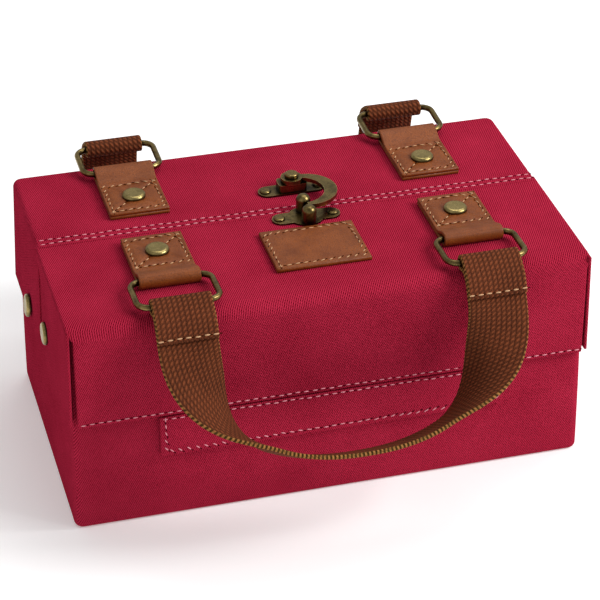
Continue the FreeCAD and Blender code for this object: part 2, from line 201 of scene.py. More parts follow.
# %% [markdown]
# The cover is a coated polyester in a fine diagonal weave. Its threads are about a millimetre apart, so
# they show as a grain from a step away. A photo texture would blur and repeat. A ridge wave and a wave that
# breaks it, both on the piece's own UV map, make the raised threads at true size and turn with the cloth.
# Slow noise gives the uneven dye, and a low sheen the dusty edge that cloth has.

# %% Red cloth, lining and touch fastener
FULL_TURN = 2 * math.pi
DIAGONAL = (0.5, 0.87)
BREAK = 0.7
CLOTH_FLECK = 1300.0
DYE_CLOUD = 30.0


def woven(name, light, dark, pitch, depth, rough, shine):
    """A diagonal weave; pitch and depth of its ridges are in millimetres."""
    finish = Finish(name)
    along, across = finish.along()
    turn = FULL_TURN / pitch
    ridge = ((along * DIAGONAL[0] - across * DIAGONAL[1]) * turn).sine()
    broken = ((along * DIAGONAL[1] + across * DIAGONAL[0]) * (turn * BREAK)).sine()
    fleck = finish.grain(CLOTH_FLECK, 2.0)
    threads = ridge * 0.42 + ridge * broken * 0.25 + fleck * 0.9
    patches = finish.grain(DYE_CLOUD, 3.0)
    shade = (threads * 0.8 + patches * 0.4).clamp(0.05, 1.1)
    finish.set(Base_Color=finish.mix(shade, dark, light), Roughness=rough, Specular_IOR_Level=shine)
    finish.set(Sheen_Weight=0.12, Sheen_Roughness=0.4, Sheen_Tint=light)
    finish.bump(threads, depth)
    return finish.done()


RED_CLOTH = woven("red_cloth", colour(206, 51, 81), colour(101, 0, 16), 1.05, 0.32, 0.6, 0.0)
LINING = woven("grey_lining", colour(150, 152, 156), colour(128, 130, 134), 0.5, 0.04, 0.5, 0.4)
TOUCH_PILE = woven("touch_pile", colour(70, 16, 26), colour(36, 8, 14), 1.4, 0.5, 0.95, 0.1)

# %% [markdown]
# The tabs and the patch are smooth waxed leather: a fine pore, a soft cloud of darker wax and a low shine.
# Voronoi cells give the pores, because the creases of leather close into small islands as cells do.

# %% Leather
PORES = 900.0
WAX_CLOUD = 90.0
FINE_GRAIN = 700.0


def waxed_leather():
    finish = Finish("waxed_leather")
    values = {"Vector": finish.place(), "Scale": PORES}
    cells = finish.node("ShaderNodeTexVoronoi", {"feature": "DISTANCE_TO_EDGE"}, values)
    pores = cells.clamp(0.0, 0.1)
    cloud = finish.grain(WAX_CLOUD, 3.0, 0.5)
    fine = finish.grain(FINE_GRAIN, 3.0)
    wax = (cloud * 0.9 + fine * 0.3).clamp(0.35, 0.9)
    tone = finish.mix(wax, colour(110, 52, 15), colour(150, 80, 30))
    finish.set(Base_Color=finish.mix(pores, colour(98, 46, 14), tone))
    finish.set(Roughness=0.5 - cloud * 0.18, Specular_IOR_Level=0.25)
    finish.bump(pores * 0.4 + fine * 0.5, 0.1)
    return finish.done()


LEATHER = waxed_leather()

# %% [markdown]
# The handles are thick cotton webbing. Its slanted knots lie in columns along the length. At the two edges,
# which lie half the strip's girth apart on its UV map, the weft turns back and shows as tan dots.

# %% Webbing
WEB_EDGE = 33.25
WEB_GIRTH = 33.7
KNOT_COLUMN = 2.7
KNOT_PITCH = 2.5
KNOT_SLANT = 4.4
TURN_PITCH = 2.2
WEB_FLECK = 1500.0
WEB_CLOUD = 60.0


def webbing_cloth():
    finish = Finish("brown_webbing")
    along, across = finish.along()
    column = (across * (1 / KNOT_COLUMN)).remainder()
    knots = (along * (FULL_TURN / KNOT_PITCH) + column * KNOT_SLANT).sine()
    fleck = finish.grain(WEB_FLECK, 3.0)
    height = (column * math.pi).sine() * (knots * 0.4 + 0.52) + fleck * 0.6 - 0.3
    shade = (height * 0.75 + finish.grain(WEB_CLOUD) * 0.35).clamp(-0.05, 0.85)
    weave = finish.mix(shade, colour(38, 16, 9), colour(132, 70, 41))
    girth = (across - WEB_EDGE) * (FULL_TURN / WEB_GIRTH) + math.pi / 2
    selvedge = girth.sine().clamp(0.95, 0.985)
    turns = (along * (FULL_TURN / TURN_PITCH)).sine().clamp(-0.5, 0.6)
    edge = finish.mix(turns, colour(66, 48, 18), colour(160, 110, 60))
    finish.set(Base_Color=finish.mix(selvedge, weave, edge), Roughness=0.9, Specular_IOR_Level=0.1)
    finish.bump(height, 0.75)
    return finish.done()


WEBBING = webbing_cloth()

# %% [markdown]
# The fittings are antique brass: an olive tone, dark in the hollows where it has tarnished and bright on
# the edges where hands rubbed it. The Bevel node finds the edges, because its softened normal parts from the
# true one there, and Ambient Occlusion finds the hollows. The rivet caps are a paler brass than the rest.

# %% Brass
RUBBED_EDGE = 0.5
HOLLOW_REACH = 6
TARNISH = 130.0
PITTING = 600.0


def antique_brass(name, dark, light):
    finish = Finish(name)
    wear = finish.grain(TARNISH, 4.0) * 0.7 + finish.grain(FINE_GRAIN, 2.0) * 0.4
    wear = wear.clamp(0.4, 0.72)
    soft = finish.node("ShaderNodeBevel", {"samples": 6}, {"Radius": RUBBED_EDGE * MM})
    flat = finish.node("ShaderNodeNewGeometry", output="Normal")
    dot = {"operation": "DOT_PRODUCT"}
    facing = finish.node("ShaderNodeVectorMath", dot, {0: soft, 1: flat}, "Value")
    rubbed = (1 - facing).clamp(0.02, 0.2)
    values = {"Color": (1, 1, 1, 1), "Distance": HOLLOW_REACH * MM}
    light_let_in = finish.node("ShaderNodeAmbientOcclusion", {"samples": 8}, values, "AO")
    tone = finish.mix(wear, dark, light)
    tone = finish.mix(rubbed, tone, colour(214, 190, 130))
    open_air = light_let_in.clamp(0.55, 0.95)
    finish.set(Base_Color=finish.mix(open_air, colour(44, 37, 24), tone), Metallic=1.0)
    finish.set(Roughness=0.36 - wear * 0.12)
    finish.bump(finish.grain(PITTING, 3.0), 0.03)
    return finish.done()


def dress(node, material):
    """Give a CAD node its finish."""
    mesh = frame["nodes"][node].data
    mesh.materials.clear()
    mesh.materials.append(material)


BRASS = antique_brass("antique_brass", colour(86, 74, 44), colour(158, 136, 84))
CAP_BRASS = antique_brass("cap_brass", colour(128, 114, 70), colour(190, 168, 110))
METAL_NODES = ("front_left_ring", "front_right_ring", "rear_left_ring", "rear_right_ring",
               "clasp_base_plate", "clasp_base_rivets", "clasp_pivot", "clasp_strike_post",
               "clasp_strike_rivets", "clasp_hook")
CAP_NODES = ("front_tab_rivets", "rear_tab_rivets", "side_rivets")
for metal in METAL_NODES:
    dress(metal, BRASS)
for cap in CAP_NODES:
    dress(cap, CAP_BRASS)
print("brass on", len(METAL_NODES), "nodes and", len(CAP_NODES), "nodes of caps")

# %% [markdown]
# Two threads sew the box: pink in the cloth, tan in the leather and the webbing. At each needle hole a dark
# bead paints the shade that falls into the hole. The base board is plain grey board, hidden under the
# lining.

# %% Thread, painted needle-hole shade and board
THREAD_PLY = 3000.0
BOARD_SPECK = 500.0


def sewing_thread(name, dark, light):
    finish = Finish(name)
    ply = finish.grain(THREAD_PLY, 2.0)
    finish.set(Base_Color=finish.mix(ply, dark, light), Roughness=0.7)
    finish.bump(ply, 0.05)
    return finish.done()


# A dark bead of painted shade: a needle hole looks dark only because little light gets into it.
def painted_hole_shade(name, tone):
    finish = Finish(name)
    ply = finish.grain(THREAD_PLY, 2.0)
    dark = finish.mix(ply, tone, colour(30, 6, 6))
    finish.set(Base_Color=dark, Roughness=0.9, Specular_IOR_Level=0.0)
    return finish.done()


def grey_board():
    finish = Finish("grey_board")
    speck = finish.grain(BOARD_SPECK, 4.0)
    finish.set(Base_Color=finish.mix(speck, colour(44, 44, 48), colour(66, 66, 70)), Roughness=0.8)
    finish.bump(speck, 0.1)
    return finish.done()


THREAD = sewing_thread("pale_thread", colour(206, 104, 124), colour(236, 168, 178))
TAN_THREAD = sewing_thread("tan_thread", colour(172, 122, 80), colour(220, 178, 136))
# Each thread's needle holes get a bead of painted shade, in a darker tone of what the thread goes through.
HOLE_SHADES = {THREAD: painted_hole_shade("cloth_painted_hole_shade", colour(84, 4, 20)),
         TAN_THREAD: painted_hole_shade("leather_painted_hole_shade", colour(70, 34, 14))}
dress("base_board", grey_board())

# %% [markdown]
# Most soft pieces here are strips: a lid panel, a tab, a handle. A cube with modifiers can't follow a bend
# with its weave, so a strip is a rounded cross-section carried along stations. Each station has a centre,
# a direction across and a direction out of the strip's face.

# %% Cross-section and mesh
EDGE_STEPS = 4


def section(width, thick, columns, edge):
    """Points (across, out) of a strip's cut end, with its four edges rounded."""
    half, high = width / 2 - edge, thick / 2 - edge
    points = []
    for corner, (x, y) in enumerate(((1, 1), (-1, 1), (-1, -1), (1, -1))):
        for step in range(EDGE_STEPS + 1):
            turn = math.pi / 2 * (corner + step / EDGE_STEPS)
            points.append((x * half + edge * math.cos(turn), y * high + edge * math.sin(turn)))
        if corner in (0, 2):
            face = y * thick / 2
            points += [(x * half * (1 - 2 * i / columns), face) for i in range(1, columns)]
    return points


def add_piece(name, grid, material):
    """Put a bmesh into the scene as a smooth piece."""
    mesh = bpy.data.meshes.new(name)
    grid.to_mesh(mesh)
    grid.free()
    mesh.materials.append(material)
    mesh.shade_smooth()
    piece = bpy.data.objects.new(name, mesh)
    bpy.context.scene.collection.objects.link(piece)
    print(name, len(mesh.polygons), "faces")
    return piece


def add_closed(name, grid, material):
    """The same for a closed form, after its faces are turned outwards."""
    bmesh.ops.recalc_face_normals(grid, faces=grid.faces)
    return add_piece(name, grid, material)


# %% [markdown]
# The strip's UV map is its true length and breadth, so a weave follows it round every bend. A function may
# lift the strip's points out of its face, for cloth that isn't quite flat.


# %% Strips
def plain_face(a, b, run):
    """The lift of a face with nothing raised on it."""
    return 0.0


def strip(name, stations, width, thick, material, columns=1, edge=0.6, shape=plain_face):
    """A closed strip; shape(across, out, run) moves its points out of the face, in millimetres."""
    outline = section(width, thick, columns, min(edge, thick * 0.49))
    grid = bmesh.new()
    uv = grid.loops.layers.uv.new("UVMap")
    rows, runs = [], []
    run = 0.0
    before = None
    for centre, across, out in stations:
        run += (centre - before).length if before else 0.0
        before = centre
        places = [centre + across * a + out * (b + shape(a, b, run)) for a, b in outline]
        rows.append([grid.verts.new(place * MM) for place in places])
        runs.append(run)
    girth = [0.0]
    for first, second in zip(outline, outline[1:] + outline[:1]):
        girth.append(girth[-1] + math.dist(first, second))
    count = len(outline)
    for row in range(len(rows) - 1):
        for i in range(count):
            j = (i + 1) % count
            face = grid.faces.new((rows[row][i], rows[row][j], rows[row + 1][j], rows[row + 1][i]))
            marks = ((runs[row], girth[i]), (runs[row], girth[i + 1]),
                     (runs[row + 1], girth[i + 1]), (runs[row + 1], girth[i]))
            for loop, mark in zip(face.loops, marks):
                loop[uv].uv = Vector(mark) * MM
    for row in (rows[0], rows[-1]):
        face = grid.faces.new(row)
        for loop, (a, b) in zip(face.loops, outline):
            loop[uv].uv = Vector((b, a)) * MM
    return add_closed(name, grid, material)


# %% [markdown]
# The stations come from plain paths: straight lines and arcs seen from the side of the box.

# %% Paths
ACROSS = Vector((1, 0, 0))


def side_stations(points, x=0.0):
    """Stations along (y, z) points, with the strip's breadth along X."""
    places = [Vector((x, y, z)) for y, z in points]
    stations = []
    for i, place in enumerate(places):
        way = (places[min(i + 1, len(places) - 1)] - places[max(i - 1, 0)]).normalized()
        stations.append((place, ACROSS, way.cross(ACROSS)))
    return stations


def line(start, end, steps):
    """Even points from start to end, both included."""
    return [tuple(a + (b - a) * i / steps for a, b in zip(start, end)) for i in range(steps + 1)]


def arc(middle, radius, start, end, steps):
    """Points (y, z) on an arc; angles in degrees, counted from +Y towards +Z."""
    points = []
    for i in range(steps + 1):
        turn = math.radians(start + (end - start) * i / steps)
        points.append((middle[0] + radius * math.cos(turn), middle[1] + radius * math.sin(turn)))
    return points


def held(share):
    """A share kept within 0 and 1."""
    return min(max(share, 0), 1)


def eased(share):
    """A share of 0 to 1 that starts and ends gently."""
    return share * share * (3 - 2 * share)


def ruffle(seed, size, reach):
    """Slow unevenness of cloth on board, in millimetres."""
    def lift(a, b, run):
        return noise.noise(Vector((a / size, run / size, seed))) * reach
    return lift


# %% [markdown]
# The lid is one covered panel, bent over the front edge: the top half and the flap that hangs in front. Two
# boards with a joint would show a seam that isn't there, so one strip runs over the bend and takes the weave
# with it. The cover stands a little proud of the board at both ends.

# %% Lid
PANEL = 2.6
EDGE_RADIUS = 7.0
LID_PROUD = 2.1
LID_HALF = LID_X[1] + LID_PROUD
LID_COLUMNS = 90
FLAP_INSET = 2.6
FLAP_SHIFT = 0.6
FLAP_START = 3.0
FLAP_EASE = 4.0


def lid_points():
    """(y, z) along the panel's middle: the top from rear to front, the bend, then the flap."""
    half = PANEL / 2
    level = TOP - half
    front = LID_Y[0] + half
    middle = (LID_Y[0] + EDGE_RADIUS, TOP - EDGE_RADIUS)
    points = line((LID_Y[1], level), (middle[0], level), 40)
    points += arc(middle, EDGE_RADIUS - half, 90, 180, 10)[1:]
    return points + line((front, middle[1]), (front, HEM), 28)[1:]


def lid_stations():
    """The flap is cut a little narrower than the top, so a slot shows at each end of it."""
    stations = []
    for place, across, out in side_stations(lid_points()):
        dropped = held((TOP - FLAP_START - place.z) / FLAP_EASE)
        place = place + ACROSS * (FLAP_SHIFT * dropped)
        stations.append((place, across * (1 - dropped * FLAP_INSET / LID_HALF), out))
    return stations


lid = strip("lid_panel", lid_stations(), 2 * LID_HALF, PANEL, RED_CLOTH, LID_COLUMNS, 1.0,
            ruffle(seed=3.1, size=55.0, reach=0.35))
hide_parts("lid_cover")
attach(lid, "lid")

# %% [markdown]
# A wing hangs from each end of the lid, beside the flap, with a slot between the two. Its rear edge slants
# forward to pass in front of the lower rivet, so its strip runs from the hem up and widens above a knee.

# %% Lid wings
SIDES = (("left", -1), ("right", 1))
WING_THICK = 1.5
WING_FLARE = 0.9
WING_HEM = HEM + 1.2
WING_TOP = TOP - 1.0
WING_REAR = 6.5
WING_CLEAR = -24.0
WING_KNEE = 88.0
WING_STEPS = 30


def wing_stations(hand):
    """Stations from the hem up; the breadth runs front to rear."""
    stations = []
    front = LID_Y[0]
    full = WING_REAR - front
    for i in range(WING_STEPS + 1):
        z = WING_HEM + (WING_TOP - WING_HEM) * i / WING_STEPS
        drop = (TOP - z) / (TOP - WING_HEM)
        rise = held((z - WING_KNEE) / (TOP - WING_KNEE))
        rear = WING_CLEAR + (WING_REAR - WING_CLEAR) * rise
        x = hand * (LID_HALF - WING_THICK / 2 + WING_FLARE * drop)
        breadth = Vector((0, (rear - front) / full, 0))
        stations.append((Vector((x, (front + rear) / 2, z)), breadth, Vector((hand, 0, 0))))
    return stations


for side, hand in SIDES:
    wing = strip(f"lid_{side}_wing", wing_stations(hand), WING_REAR - LID_Y[0], WING_THICK,
                 RED_CLOTH, 30, 0.7)
    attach(wing, "lid")

# %% [markdown]
# Two flat pieces lie on the lid: the wipe-clean lining under it and the leather patch on top. Each fills
# the box of its CAD node, with softer edges than a cut block has.


# %% Lid lining and patch
def flat_piece(name, node, body, material, edge, columns):
    """A padded flat piece in the box of its node, run along Y."""
    x, y, z = limits(node)
    points = line((y[1], sum(z) / 2), (y[0], sum(z) / 2), 24)
    stations = side_stations(points, sum(x) / 2)
    piece = strip(name, stations, x[1] - x[0], z[1] - z[0], material, columns, edge)
    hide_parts(node)
    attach(piece, body)


flat_piece("lid_inner_lining", "lid_liner", "lid", LINING, 0.8, 24)
flat_piece("leather_patch", "label_patch", "lid", LEATHER, 0.7, 30)

# %% [markdown]
# The fold is where the cover bends when the lid opens: a strip of cloth sewn down on both sides. It lies
# between the lid on one side and the hood on the other, and is kept fixed in place, attached to neither.

# %% Fold strip
FOLD_HALF = 5.0
FOLD_THICK = 0.5
FOLD_STEPS = 36
FOLD_SHORT = 2.6
DIP_DEPTH = 0.3
DIP_WIDTH = 1.6


def fold_points():
    return [(FOLD + FOLD_HALF * (1 - 2 * i / FOLD_STEPS), TOP) for i in range(FOLD_STEPS + 1)]


def fold_dip(a, b, run):
    """The cloth dips a little between its two rows of stitches."""
    return -DIP_DEPTH * math.exp(-((run - FOLD_HALF) / DIP_WIDTH) ** 2)


fold = strip("fold_strip", side_stations(fold_points()), 2 * LID_HALF - FOLD_SHORT, FOLD_THICK,
             RED_CLOTH, LID_COLUMNS, 0.2, fold_dip)
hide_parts("hinge_band")
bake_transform(fold)

# %% [markdown]
# The tongue is a second strip below the flap's hem that closes on touch fastener. It stops just short of
# the flap at its top, so that it can swing out.

# %% Tongue and touch fastener
TONGUE_SHORT = 0.9


def upright_piece(name, node, body, material, edge, shape=plain_face, short=0.0):
    """A standing piece in the box of its node, run down from its top."""
    x, y, z = limits(node)
    points = line((sum(y) / 2, z[1] - short), (sum(y) / 2, z[0]), 20)
    piece = strip(name, side_stations(points), x[1] - x[0], y[1] - y[0], material, 40, edge, shape)
    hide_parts(node)
    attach(piece, body)


upright_piece("closing_tongue", "tongue_flap", "tongue", RED_CLOTH, 0.8,
              ruffle(seed=7.7, size=40.0, reach=0.25), TONGUE_SHORT)
upright_piece("touch_hooks", "hook_strip", "tongue", TOUCH_PILE, 0.25)
upright_piece("touch_loops", "loop_strip", "tub", TOUCH_PILE, 0.25)

# %% [markdown]
# The tub is a deep tray with round corners, wider at the foot than at the rim. A cube with a Boolean would
# leave a mesh that shades badly, so it is made as one skin from rounded rectangles stacked at each height.

# %% Rounded rectangles
TUB_X, TUB_Y, (_, RIM) = limits("tub_shell")
RIM_FRONT = -77.5
RIM_REAR = 76.0
TAPER = ((TUB_X[1], LID_X[1]), (TUB_Y[0], RIM_FRONT), (TUB_Y[1], RIM_REAR))
CORNER = 5.0
LEAST_CORNER = 2.0


def rounded_loop(half, front, rear, radius, per_side=26, per_corner=7):
    """Points (x, y) round a rectangle with round corners, anticlockwise from the right-hand rear."""
    def rim_point(middle, turn):
        return middle[0] + radius * math.cos(turn), middle[1] + radius * math.sin(turn)

    points = []
    corners = ((1, 1), (-1, 1), (-1, -1), (1, -1))
    middles = [(sx * (half - radius), rear - radius if sy > 0 else front + radius) for sx, sy in corners]
    for index, middle in enumerate(middles):
        for step in range(per_corner + 1):
            points.append(rim_point(middle, math.pi / 2 * (index + step / per_corner)))
        goal = rim_point(middles[(index + 1) % 4], math.pi / 2 * (index + 1))
        points += line(points[-1], goal, per_side)[1:-1]
    return points


def tub_loop(height, inset):
    """The tub's outline at a height, drawn in by an inset."""
    share = height / RIM
    half, front, rear = (low + (high - low) * share for low, high in TAPER)
    return rounded_loop(half - inset, front + inset, rear - inset, max(CORNER - inset, LEAST_CORNER))


print("points round the tub", len(tub_loop(0.0, 0.0)))

# %% [markdown]
# A skin joins such loops and caps both ends. Its UV map is laid on flat, from whichever plane a face lies
# nearest to, because that is how cloth is glued on a box: panel by panel.


# %% Skins
def box_map(grid, uv):
    """True-size UVs, from whichever plane each face lies nearest to."""
    for face in grid.faces:
        n = [abs(c) for c in face.normal]
        keep = (1, 2) if n[0] == max(n) else (0, 2) if n[1] == max(n) else (0, 1)
        for loop in face.loops:
            loop[uv].uv = (loop.vert.co[keep[1]], loop.vert.co[keep[0]])


def skin(name, levels, material):
    """A closed skin through (height, inset) levels; both ends are capped."""
    grid = bmesh.new()
    uv = grid.loops.layers.uv.new("UVMap")
    rows = []
    for height, inset in levels:
        rows.append([grid.verts.new(Vector((x, y, height)) * MM) for x, y in tub_loop(height, inset)])
    for low, high in zip(rows, rows[1:]):
        for i in range(len(low)):
            j = (i + 1) % len(low)
            grid.faces.new((low[i], low[j], high[j], high[i]))
    grid.faces.new(rows[0])
    grid.faces.new(rows[-1])
    grid.normal_update()
    box_map(grid, uv)
    return add_closed(name, grid, material)


# %% [markdown]
# The tub's skin goes up the outside, over the rim and down the inside. Its walls belly out by half a
# millimetre, as covered board does.

# %% Tub
BASE_EDGE = 3.0
BASE_INSET = 12.0
BELLY = 0.6
WALL = 6.0
MIDDLE_HEIGHT = 60
FLOOR_HEIGHT = 4.2


def tub_profile():
    """Base edge, wall, rim and inner wall as (height, inset)."""
    levels = [(0.0, BASE_INSET)]
    for step in range(6):
        turn = math.pi / 2 * step / 5
        levels.append((BASE_EDGE * (1 - math.cos(turn)), BASE_EDGE * (1 - math.sin(turn))))
    for height in (10, 20, 32, 44, 56, HEM - 2):
        levels.append((height, -BELLY * math.sin(math.pi * height / RIM)))
    levels += [(height, 0.0) for height in (HEM, 80, 95, 110, RIM - 1.5)]
    levels += [(RIM - 0.5, 0.5), (RIM, 1.5), (RIM, 2.4), (RIM - 2, WALL - 2.6)]
    return levels + [(height, WALL) for height in (RIM - 10, MIDDLE_HEIGHT, FLOOR_HEIGHT)]


tub = skin("tub_cover", tub_profile(), RED_CLOTH)
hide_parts("tub_shell")
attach(tub, "tub")

# %% [markdown]
# The lining is a thinner tray inside the tub, with a softer turn where wall and floor meet.

# %% Lining
LINING_GAP = 0.3
LINING_THICK = 1.4


def lining_profile():
    """Outside, rim and inside as (height, inset)."""
    low, high = limits("tub_lining")[2]
    outer = WALL + LINING_GAP
    inner = outer + LINING_THICK
    levels = [(low, outer + 4), (low + 1, outer + 1), (low + 4, outer), (MIDDLE_HEIGHT, outer)]
    levels += [(high - 0.5, outer), (high, outer + 0.5), (high, inner - 0.3), (high - 1, inner)]
    levels += [(MIDDLE_HEIGHT, inner), (low + 6, inner)]
    return levels + [(low + 2.5, inner + 1), (low + 1.5, inner + 4)]


lining = skin("tub_inner_lining", lining_profile(), LINING)
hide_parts("tub_lining")
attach(lining, "tub")

# %% [markdown]
# The hood covers the rear half: a top, a rear panel and two wings that flare out at the hem. Its skin is
# a stack of U shapes from the hem up, which then close in over the top.

# %% Hood outline
HOOD_X, (HOOD_FRONT, HOOD_REAR) = limits("rear_hood")[:2]
CROWN = 3.0
HOOD_CORNER = 5.0
TUCK_REACH = 12.0
TUCK_GAP = 0.7
FLARE_EASE = 1.5
WALL_ROWS = 14
CROWN_ROWS = 5
TOP_ROWS = 22


def u_path(half, rear, radius, tuck, per_wing=22, per_corner=6, across=80):
    """Points (x, y) from the left wing's front edge, round the rear, to the right wing's."""
    points = []
    for i in range(per_wing):
        reach = (rear - radius - HOOD_FRONT) * i / per_wing
        points.append((-half + tuck * max(1 - reach / TUCK_REACH, 0) ** 2, HOOD_FRONT + reach))
    for step in range(per_corner):
        turn = math.pi - math.pi / 2 * step / per_corner
        x = -half + radius + radius * math.cos(turn)
        points.append((x, rear - radius + radius * math.sin(turn)))
    points += [((-half + radius) * (1 - 2 * i / across), rear) for i in range(across // 2)]
    return points + [(0.0, rear)] + [(-x, y) for x, y in reversed(points)]


def hood_rows():
    """(height, half width, rear, corner radius) from the hem to the closed top."""
    hem, top = HOOD_X[1] - FLARE_EASE, LID_HALF
    rows = []
    for step in range(WALL_ROWS + 1):
        height = HEM + (TOP - CROWN - HEM) * (step / WALL_ROWS)
        half = hem + (top - hem) * (height - HEM) / (TOP - HEM)
        rows.append((height, half, HOOD_REAR, HOOD_CORNER))
    for step in range(1, CROWN_ROWS + 1):
        turn = math.pi / 2 * step / CROWN_ROWS
        draw = CROWN * (1 - math.cos(turn))
        height = TOP - CROWN * (1 - math.sin(turn))
        rows.append((height, top - draw, HOOD_REAR - draw, HOOD_CORNER - draw))
    reach = HOOD_REAR - CROWN - HOOD_FRONT
    for step in range(1, TOP_ROWS + 1):
        draw = CROWN + reach * step / TOP_ROWS
        corner = (HOOD_CORNER - CROWN) * (1 - step / TOP_ROWS)
        rows.append((TOP, top - draw, HOOD_REAR - draw, corner))
    return rows


print("hood rows", len(hood_rows()))

# %% [markdown]
# Where the U shapes close at the top their points meet, so doubles are merged and empty faces go. An open
# skin has no inside to tell, so its top face says which way is out. Solidify then gives the board its
# thickness and Bevel turns the cloth over its cut edges. The UV map is laid again after that.

# %% Hood
HOOD_WALL = 2.8
TURNED_EDGE = 0.8
SHARP = 60
MERGE_WITHIN = 2e-5
EMPTY_AREA = 1e-12


def hood_skin():
    grid = bmesh.new()
    uv = grid.loops.layers.uv.new("UVMap")
    rows = []
    for height, half, rear, radius in hood_rows():
        wall = TUB_X[1] + (LID_X[1] - TUB_X[1]) * height / RIM
        path = u_path(half, rear, radius, max(half - wall - TUCK_GAP, 0))
        rows.append([grid.verts.new(Vector((x, y, height)) * MM) for x, y in path])
    for low, high in zip(rows, rows[1:]):
        for i in range(len(low) - 1):
            grid.faces.new((low[i], low[i + 1], high[i + 1], high[i]))
    bmesh.ops.remove_doubles(grid, verts=grid.verts, dist=MERGE_WITHIN)
    empty = [face for face in grid.faces if face.calc_area() < EMPTY_AREA]
    bmesh.ops.delete(grid, geom=empty, context="FACES_ONLY")
    bmesh.ops.recalc_face_normals(grid, faces=grid.faces)
    top = max(grid.faces, key=lambda face: face.calc_center_median().z)
    if top.normal.z < 0:
        bmesh.ops.reverse_faces(grid, faces=grid.faces)
    grid.normal_update()
    box_map(grid, uv)
    return add_piece("hood_cover", grid, RED_CLOTH)


def settle(piece):
    """Turn the modifiers' result into the piece's plain mesh."""
    graph = bpy.context.evaluated_depsgraph_get()
    mesh = bpy.data.meshes.new_from_object(piece.evaluated_get(graph))
    piece.modifiers.clear()
    piece.data = mesh


hood = hood_skin()
board = hood.modifiers.new("board", "SOLIDIFY")
board.thickness = HOOD_WALL * MM
board.offset = -1.0
board.use_even_offset = True
turned = hood.modifiers.new("turned_edge", "BEVEL")
turned.width = TURNED_EDGE * MM
turned.segments = 3
turned.limit_method = "ANGLE"
turned.angle_limit = math.radians(SHARP)
settle(hood)
grid = bmesh.new()
grid.from_mesh(hood.data)
box_map(grid, grid.loops.layers.uv.verify())
grid.to_mesh(hood.data)
grid.free()
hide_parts("rear_hood")
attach(hood, "tub")
print("hood with its board", len(hood.data.polygons), "faces")

# %% [markdown]
# Each tab is one strip of leather, folded round the ring's bar and brought back on itself, then stitched.
# Its path is drawn from the side of the box, so the leather bends in one strip as the real one does.

# %% Tab path
ENDS = (("front", -1, "lid"), ("rear", 1, "tub"))
LEATHER_THICK = 1.95
LAYER_GAP = 0.05
LOOP_MIDDLE = 3.05
LOOP_TURN = 170
TAB_BACK = 13.5
JOIN_REACH = 12


def tab_points(joint, way):
    """(y, z) along the strip: under layer out to the bar, round it, and back on top."""
    bar = at(joint)
    tail = FOLD + way * TAB_BACK
    low = TOP + LEATHER_THICK / 2 + LAYER_GAP
    high = low + LEATHER_THICK + LAYER_GAP
    joining = bar.y - way * JOIN_REACH
    points = line((tail, low), (bar.y, low), 24)
    points += arc((bar.y, bar.z), LOOP_MIDDLE, -90, -90 + way * LOOP_TURN, 20)[1:]
    last = points[-1]
    for step in range(1, 11):
        share = step / 10
        drop = (high - last[1]) * eased(share)
        points.append((last[0] + (joining - last[0]) * share, last[1] + drop))
    return points + line((joining, high), (tail, high), 44)[1:]


print("points along a tab", len(tab_points("front_ring_swing", -1)))

# %% [markdown]
# The stitches draw the top layer in, along a square and its two diagonals. That shows as a groove in the
# light, so it is in the mesh and not only in the bump.

# %% Leather tabs
TAB_HALF = 14.1
TAB_NEAR = 2.5
TAB_FAR = 30.5
GROOVE_DEPTH = 0.55
GROOVE_WIDTH = 1.4
GROOVE_END = 6
SLANT_SHARE = 0.7


def pressed(length, face):
    """The lift that makes the grooves; face is the side of the strip that is up."""
    def lift(a, b, run):
        back = length - run
        if b * face < 0 or back > TAB_FAR + GROOVE_END:
            return 0.0
        half_run = (TAB_FAR - TAB_NEAR) / 2
        side = abs(a) / TAB_HALF
        end = abs(back - TAB_NEAR - half_run) / half_run
        gap = abs(max(side, end) - 1) * half_run
        if max(side, end) < 1:
            gap = min(gap, abs(side - end) * half_run * SLANT_SHARE)
        return -GROOVE_DEPTH * face * math.exp(-(gap / GROOVE_WIDTH) ** 2)
    return lift


def leather_tab(end, side, way, body):
    node = f"{end}_{side}_tab"
    x = limits(node)[0]
    points = tab_points(f"{end}_ring_swing", way)
    length = sum(math.dist(first, second) for first, second in zip(points, points[1:]))
    tab = strip(f"{end}_{side}_leather", side_stations(points, sum(x) / 2), x[1] - x[0],
                LEATHER_THICK, LEATHER, 44, 0.6, pressed(length, way))
    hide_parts(node)
    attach(tab, body)
    print(end, side, "tab strip is", round(length), "mm long")


for end, way, body in ENDS:
    for side, hand in SIDES:
        leather_tab(end, side, way, body)

# %% [markdown]
# A handle is one length of webbing. Each end goes round its ring and comes back on the outside, and both
# layers bend over the edge of the box. Webbing is stiff across its breadth, so it is drawn as a strip that
# keeps its width, and not as a draped cloth.

# %% Handle over the edge
WEB_THICK = 2.3
WEB_WIDTH = 32.0
WEB_LOOP = 3.25
LAYER_SLIP = 0.03
BEND = 14.0
TAIL = 6.5
LEAD = 0.5
LEAN = {"front": 28.0, "rear": 14.0}
TAB_LEFT, TAB_RIGHT = (sum(limits(f"front_{side}_tab")[0]) / 2 for side, hand in SIDES)
TAB_PLACE = (TAB_RIGHT - TAB_LEFT) / 2
TRIM = (TAB_RIGHT + TAB_LEFT) / 2


def hang(end, way):
    """The middle of the bend, the way the webbing hangs from it, and the way out of its face."""
    lean = math.radians(LEAN[end])
    down = Vector((0, way * math.sin(lean), -math.cos(lean)))
    out = Vector((0, way * math.cos(lean), math.sin(lean)))
    hub = at(f"{end}_strap_swing") + Vector((0, way * LEAD, -BEND))
    return hub, down, out


